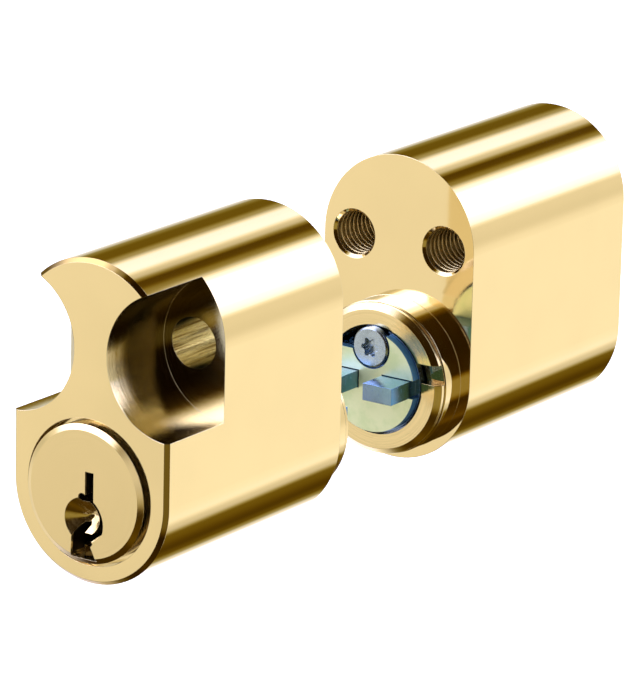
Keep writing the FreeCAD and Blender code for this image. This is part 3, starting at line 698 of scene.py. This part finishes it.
# ---------------------------------------------------------------- new pieces


def mesh_piece(name, vertices, faces, material, body):
    """A new piece from whole arrays of points and faces; it rides on a body."""
    mesh = bpy.data.meshes.new(name)
    mesh.from_pydata(vertices.tolist(), [], faces)
    mesh.validate()
    mesh.polygons.foreach_set("use_smooth", np.ones(len(mesh.polygons), dtype=bool))
    mesh.update()
    piece = bpy.data.objects.new(name, mesh)
    bpy.context.scene.collection.objects.link(piece)
    mesh.materials.append(material)
    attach(piece, body)
    return piece


def closed_sweep(rings):
    """Faces of a closed tube from an array of rings (ring, point, xyz), with a cap on each end."""
    count, around = rings.shape[:2]
    index = np.arange(count * around).reshape(count, around)
    following = np.roll(index, -1, axis=1)
    sides = np.stack((index[:-1], following[:-1], following[1:], index[1:]), axis=-1).reshape(-1, 4)
    return sides.tolist() + [index[0][::-1].tolist(), index[-1].tolist()]


def thread_rings(centre, shape):
    """A thread ridge: a flat-topped triangle carried along a helix about a line along Y.

    Across and up are the radius times the cosine and sine of the turn, and the place along the line
    grows by one pitch a turn. The ridge grows to full height over its first half turn and fades over
    its last, so its two ends are closed.
    """
    steps_per_turn = 40
    turns = shape.thread_length / shape.thread_pitch
    turn = np.linspace(0.0, turns, int(turns * steps_per_turn) + 1)[:, None]
    height = np.clip(np.minimum(turn, turns - turn) * 2.0, 0.02, 1.0)
    foot = 0.46 * shape.thread_pitch
    crest = 0.06 * shape.thread_pitch
    along = np.array([-foot, -crest, crest, foot])[None, :]
    rise = np.array([0.0, 1.0, 1.0, 0.0])[None, :]
    radius = shape.thread_major - rise * height * (shape.thread_major - shape.thread_minor)
    angle = 2.0 * math.pi * turn
    x = centre[0] + radius * np.cos(angle)
    y = centre[1] + shape.thread_start + foot + turn * shape.thread_pitch + along
    z = centre[2] + radius * np.sin(angle)
    return np.stack(np.broadcast_arrays(x, y, z), axis=-1)


def coil_rings(centre, low, high, coil_radius, wire_radius):
    """A compression spring: a circle carried along a helix whose end turns lie close together.

    Each point is the coil radius outwards plus the wire radius times the cosine outwards and the
    sine upwards. The height follows the turn in three straight runs, slow, quick and slow.
    """
    turns = 8.0
    closed_turns = 1.25
    steps_per_turn = 28
    points_round_wire = 10
    turn = np.linspace(0.0, turns, int(turns * steps_per_turn) + 1)
    ends = 2.2 * wire_radius * closed_turns
    knots = [0.0, closed_turns, turns - closed_turns, turns]
    foot = low + wire_radius
    top = high - wire_radius
    level = np.interp(turn, knots, [foot, foot + ends, top - ends, top])
    angle = 2.0 * math.pi * turn
    out = np.stack((np.cos(angle), np.sin(angle), np.zeros_like(angle)), axis=-1)[:, None, :]
    up = np.array([0.0, 0.0, 1.0])
    circle = np.linspace(0.0, 2.0 * math.pi, points_round_wire, endpoint=False)[None, :, None]
    spine = out * coil_radius + level[:, None, None] * up
    rings = spine + wire_radius * (np.cos(circle) * out + np.sin(circle) * up)
    return rings + np.array([centre[0], centre[1], 0.0])


# ---------------------------------------------------------------- operators


class CYLINDER_OT_brass(bpy.types.Operator):
    """Finish the bodies, nose rings, plugs, stoppers and key pins in brass"""

    bl_idname = "cylinder.brass"
    bl_label = "Brass finishes"

    def execute(self, context):
        brass = context.scene.cylinder_brass
        ring = turned_finish("turned_brass", brass.faced, density=9000.0, depth=0.0015 * MM,
                             base=0.09, spread=0.06)
        stopper = turned_finish("stopper_brass", scaled(brass.faced, 0.96), density=8000.0,
                                depth=0.002 * MM, base=0.12, spread=0.06)
        pin = turned_finish("pin_brass", scaled(brass.faced, 0.92), density=9000.0, depth=0.004 * MM,
                            base=0.2, spread=0.1)
        for half in HALVES:
            dress(body_finish(half, brass), half + "_housing")
            dress(plug_finish(half, brass), half + "_plug")
            dress(ring, half + "_nose_ring")
            dress(stopper, half + "_chamber_stoppers")
            for number in range(1, PIN_COUNT + 1):
                dress(pin, "%s_key_pin_%d" % (half, number))
        return {"FINISHED"}


class CYLINDER_OT_steel(bpy.types.Operator):
    """Finish the drivers, plates, screws and driver pins in zinc and steel"""

    bl_idname = "cylinder.steel"
    bl_label = "Steel finishes"

    def execute(self, context):
        steel = context.scene.cylinder_steel
        driver = zinc_finish("driver_zinc", steel.driver, steel.flank, base=0.17, grain_scale=2600.0,
                             depth=0.005 * MM)
        screw = zinc_finish("screw_zinc", steel.screw, steel.screw_flank, base=0.2, grain_scale=3200.0,
                            depth=0.004 * MM)
        pin = turned_finish("pin_steel", steel.pin, density=9000.0, depth=0.004 * MM, base=0.18,
                            spread=0.1)
        plate = plate_finish(steel)
        for half in HALVES:
            dress(driver, half + "_driver_body")
            dress(plate, half + "_driver_plate")
            dress(screw, half + "_driver_screw")
            for number in range(1, PIN_COUNT + 1):
                dress(pin, "%s_driver_pin_%d" % (half, number))
        return {"FINISHED"}


class CYLINDER_OT_threads(bpy.types.Operator):
    """Cut the fixing threads into the far half's two screw holes"""

    bl_idname = "cylinder.threads"
    bl_label = "Fixing threads"

    def execute(self, context):
        shape = context.scene.cylinder_shape
        brass = context.scene.cylinder_brass
        material = thread_finish(brass)
        for side, word in ((-1.0, "left"), (1.0, "right")):
            rings = thread_rings((side * brass.hole_spread, FAR_FACE_Y, SCREW_ROW_Z), shape)
            mesh_piece("far_fixing_thread_" + word, rings.reshape(-1, 3), closed_sweep(rings), material,
                       "far_half")
        return {"FINISHED"}


class CYLINDER_OT_springs(bpy.types.Operator):
    """Wind the pin springs and put them in place of their plain tubes"""

    bl_idname = "cylinder.springs"
    bl_label = "Pin springs"

    def execute(self, context):
        shape = context.scene.cylinder_shape
        steel = context.scene.cylinder_steel
        material = zinc_finish("spring_wire", steel.wire, steel.wire, base=0.22, grain_scale=4000.0,
                               depth=0.002 * MM)
        for half in HALVES:
            for number in range(1, PIN_COUNT + 1):
                node = "%s_pin_spring_%d" % (half, number)
                low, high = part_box(node)
                centre = (low + high) / 2.0
                coil_radius = (high.x - low.x) / 2.0 - shape.wire_radius
                rings = coil_rings(centre, low.z, high.z, coil_radius, shape.wire_radius)
                piece = mesh_piece(node + "_coil", rings.reshape(-1, 3), closed_sweep(rings), material,
                                   half + "_half")
                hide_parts(node)
                self.compress(piece, half, number, centre, low.z, high.z)
        return {"FINISHED"}

    def compress(self, piece, half, number, centre, low, high):
        """Gives the coil its own copy of its mesh; nothing flattens it."""
        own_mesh(piece)


# ---------------------------------------------------------------- studio

# Light round the long axis, behind and in front: degrees from straight up towards +X, brightness.
BACK_BANDS = (
    (-135.0, 1.35), (-121.0, 0.85), (-113.0, 0.8), (-102.0, 1.0), (-92.0, 0.66), (-80.0, 0.26),
    (-68.0, 0.15), (-55.0, 0.15), (-44.0, 0.38), (-33.0, 1.25), (-18.0, 1.3), (-8.0, 0.7),
    (2.0, 0.085), (8.0, 0.1), (16.0, 0.28), (26.0, 1.3), (38.0, 3.0), (54.0, 3.0),
    (68.0, 1.7), (82.0, 0.86), (98.0, 0.82), (117.0, 1.05), (134.0, 1.12), (144.0, 0.75),
    (155.0, 0.16), (176.0, 0.08), (186.0, 0.12), (195.0, 0.32), (204.0, 0.85), (214.0, 1.3),
)
FRONT_BANDS = (
    (-170.0, 0.05), (-150.0, 0.04), (-136.0, 0.04), (-129.0, 0.11), (-121.0, 0.86), (-112.0, 0.93),
    (-102.0, 0.68), (-88.0, 0.66), (-78.0, 0.9), (-70.0, 2.0), (-58.0, 3.0), (-28.0, 3.0),
    (-18.0, 1.6), (-8.0, 0.6), (0.0, 0.12), (10.0, 0.03), (60.0, 0.02), (98.0, 0.03), (110.0, 0.3),
    (128.0, 0.3), (142.0, 0.04), (160.0, 0.07), (172.0, 0.11), (182.0, 0.05),
)
BAND_PEAK = 3.0
# Share of the peak brightness, then the red, green and blue of light that bright.
TINTS = (
    (0.0, 1.0, 0.50, 0.02), (0.03, 1.0, 0.56, 0.02), (0.057, 1.0, 0.68, 0.05), (0.1, 1.0, 0.84, 0.27),
    (0.2, 1.0, 0.97, 0.85), (0.283, 1.0, 0.98, 0.92), (0.36, 1.0, 1.0, 1.0), (0.43, 1.0, 1.03, 1.4),
)
# Light along the axis itself, and the plain white that the camera sees behind the set.
POLE_LIGHT = (0.82, 0.8, 0.76)
BACKDROP = (1.0, 1.0, 1.0, 1.0)
# Share of a direction that lies along Y, where the front bands end and where the pole light starts.
TENT_SEAM = 0.2
POLE_START, POLE_FULL = 0.88, 0.98
# Places of the two softboxes in metres, in front of the near half and behind the far one.
KEY_PLACE = (0.5, -0.5, 0.7)
FILL_PLACE = (-0.6, 0.4, 0.5)


def set_stops(ramp, stops):
    """Gives a colour ramp its stops; each is (position, colour)."""
    elements = ramp.elements
    while len(elements) > 1:
        elements.remove(elements[-1])
    for number, (position, colour) in enumerate(stops):
        element = elements[0] if number == 0 else elements.new(position)
        element.position = position
        element.color = (*colour, 1.0)


def build_light_bands(name, bands):
    """Soft boxes and the gaps between them, as a colour that changes round the long axis."""
    tree, given, result = new_group(name, (("Across", "NodeSocketFloat"), ("Up", "NodeSocketFloat")),
                                    (("Light", "NodeSocketColor"),))
    angle = math_node(tree, "ARCTAN2", given["Across"], given["Up"])
    turns = math_node(tree, "DIVIDE", angle, 2.0 * math.pi)
    turn = math_node(tree, "FRACT", math_node(tree, "ADD", turns, 1.0))
    ramp = tree.nodes.new("ShaderNodeValToRGB")
    ramp.color_ramp.interpolation = "EASE"
    stops = sorted(((degrees / 360.0) % 1.0, level / BAND_PEAK) for degrees, level in bands)
    first, last = stops[0], stops[-1]
    # The ramp has to meet itself where the turn closes.
    share = first[0] / (first[0] + 1.0 - last[0])
    joined = first[1] + (last[1] - first[1]) * share
    stops = [(0.0, joined)] + stops + [(1.0, joined)]
    set_stops(ramp.color_ramp, [(position, (level,) * 3) for position, level in stops])
    tree.links.new(turn, ramp.inputs[0])
    level = product(tree, ramp.outputs[0], BAND_PEAK)
    tints = tree.nodes.new("ShaderNodeValToRGB")
    set_stops(tints.color_ramp, [(position, colour) for position, *colour in TINTS])
    tree.links.new(ramp.outputs[0], tints.inputs[0])
    light = tree.nodes.new("ShaderNodeVectorMath")
    light.operation = "SCALE"
    tree.links.new(tints.outputs[0], light.inputs[0])
    tree.links.new(level, light.inputs["Scale"])
    tree.links.new(light.outputs[0], result["Light"])


def light_studio(brightness):
    """A banded light tent for reflections; the camera itself sees plain white."""
    build_light_bands("back_bands", BACK_BANDS)
    build_light_bands("front_bands", FRONT_BANDS)
    world = bpy.data.worlds.new("studio")
    bpy.context.scene.world = world
    world.use_nodes = True
    tree = world.node_tree
    tree.nodes.clear()
    x, y, z = split(tree, tree.nodes.new("ShaderNodeTexCoord").outputs["Generated"])
    back = place_group(tree, "back_bands", {"Across": x, "Up": z})[0]
    front = place_group(tree, "front_bands", {"Across": x, "Up": z})[0]
    tent = blend_colours(tree, ramp_values(tree, y, -TENT_SEAM, TENT_SEAM), front, back)
    pole = ramp_values(tree, math_node(tree, "ABSOLUTE", y), POLE_START, POLE_FULL)
    tent = blend_colours(tree, pole, tent, POLE_LIGHT)
    reflected = tree.nodes.new("ShaderNodeBackground")
    tree.links.new(tent, reflected.inputs["Color"])
    reflected.inputs["Strength"].default_value = brightness
    seen = tree.nodes.new("ShaderNodeBackground")
    seen.inputs["Color"].default_value = BACKDROP
    choose = tree.nodes.new("ShaderNodeMixShader")
    tree.links.new(tree.nodes.new("ShaderNodeLightPath").outputs["Is Camera Ray"], choose.inputs[0])
    tree.links.new(reflected.outputs[0], choose.inputs[1])
    tree.links.new(seen.outputs[0], choose.inputs[2])
    output = tree.nodes.new("ShaderNodeOutputWorld")
    tree.links.new(choose.outputs[0], output.inputs["Surface"])


def lay_floor(studio):
    """A plain pale square below the set, a little brighter than the light alone would make it."""
    level = HALF_BOX["near"][0].z - studio.floor_drop
    reach = studio.floor_size / 2.0
    across = np.array([-reach, reach, reach, -reach])
    along = np.array([-reach, -reach, reach, reach])
    corners = np.stack((across, along, np.full(4, level)), axis=-1)
    mesh = bpy.data.meshes.new("floor")
    mesh.from_pydata(corners.tolist(), [], [(0, 1, 2, 3)])
    floor = bpy.data.objects.new("floor", mesh)
    bpy.context.scene.collection.objects.link(floor)
    floor.visible_glossy = False
    material = bpy.data.materials.new("pale_floor")
    material.use_nodes = True
    shader = material.node_tree.nodes["Principled BSDF"]
    shader.inputs["Base Color"].default_value = (*studio.floor_colour, 1.0)
    shader.inputs["Roughness"].default_value = 0.9
    shader.inputs["Emission Color"].default_value = (1.0, 1.0, 1.0, 1.0)
    shader.inputs["Emission Strength"].default_value = studio.floor_glow
    mesh.materials.append(material)


def set_camera(studio):
    """A long lens on a point between the halves, turned, raised and rolled about its own axis."""
    turn, rise = studio.azimuth, studio.elevation
    away = Vector((math.sin(turn) * math.cos(rise), -math.cos(turn) * math.cos(rise), math.sin(rise)))
    right = away.cross(Vector((0.0, 0.0, -1.0))).normalized()
    up = away.cross(right)
    frame_axes = Matrix((right, up, away)).transposed().to_4x4()
    data = bpy.data.cameras.new("camera")
    data.sensor_width = 36.0
    data.lens = studio.lens
    data.shift_x, data.shift_y = studio.shift
    data.clip_start = 0.01
    camera = bpy.data.objects.new("camera", data)
    camera.matrix_world = (
        Matrix.Translation(Vector(studio.target) + away * studio.distance)
        @ frame_axes
        @ Matrix.Rotation(studio.roll, 4, "Z")
    )
    bpy.context.scene.collection.objects.link(camera)
    bpy.context.scene.camera = camera


def hang_softbox(name, place, size, power):
    """One square area light that looks at the set; brass reflects the tent, not the lamp."""
    data = bpy.data.lights.new(name, "AREA")
    data.size = size
    data.energy = power
    lamp = bpy.data.objects.new(name, data)
    direction = Vector((0.0, MID_GAP_Y, 0.0)) - Vector(place)
    turned = direction.to_track_quat("-Z", "Y").to_matrix().to_4x4()
    lamp.matrix_world = Matrix.Translation(place) @ turned
    lamp.visible_glossy = False
    bpy.context.scene.collection.objects.link(lamp)


class CYLINDER_OT_studio(bpy.types.Operator):
    """Set up the floor, the light tent and the camera"""

    bl_idname = "cylinder.studio"
    bl_label = "Studio"

    def execute(self, context):
        studio = context.scene.cylinder_studio
        context.scene.view_settings.view_transform = "Standard"
        context.scene.view_settings.look = "None"
        light_studio(studio.brightness)
        lay_floor(studio)
        hang_softbox("key_softbox", KEY_PLACE, studio.softbox_size, studio.key_power)
        hang_softbox("fill_softbox", FILL_PLACE, studio.softbox_size, studio.fill_power)
        set_camera(studio)
        return {"FINISHED"}


OPERATORS = (
    CYLINDER_OT_brass, CYLINDER_OT_steel, CYLINDER_OT_threads, CYLINDER_OT_springs, CYLINDER_OT_studio,
)


class CYLINDER_PT_tools(bpy.types.Panel):
    """Tools of the oval lock cylinder set"""

    bl_idname = "CYLINDER_PT_tools"
    bl_label = "Oval lock cylinder"
    bl_space_type = "VIEW_3D"
    bl_region_type = "UI"
    bl_category = "Cylinder"

    def draw(self, context):
        for operator in OPERATORS:
            self.layout.operator(operator.bl_idname)


SETTINGS = {
    "cylinder_brass": BrassSettings,
    "cylinder_steel": SteelSettings,
    "cylinder_shape": ShapeSettings,
    "cylinder_studio": StudioSettings,
}


def register():
    """Registers the settings, the operators and the panel."""
    for name, group in SETTINGS.items():
        bpy.utils.register_class(group)
        setattr(bpy.types.Scene, name, bpy.props.PointerProperty(type=group))
    for item in (*OPERATORS, CYLINDER_PT_tools):
        bpy.utils.register_class(item)


def unregister():
    """Takes them away again, in the opposite order."""
    for item in reversed((*OPERATORS, CYLINDER_PT_tools)):
        bpy.utils.unregister_class(item)
    for name, group in SETTINGS.items():
        delattr(bpy.types.Scene, name)
        bpy.utils.unregister_class(group)


def main():
    """Makes every piece and the stage."""
    register()
    bpy.ops.cylinder.brass()
    bpy.ops.cylinder.steel()
    bpy.ops.cylinder.threads()
    bpy.ops.cylinder.springs()
    bpy.ops.cylinder.studio()


if __name__ == "__main__":
    main()
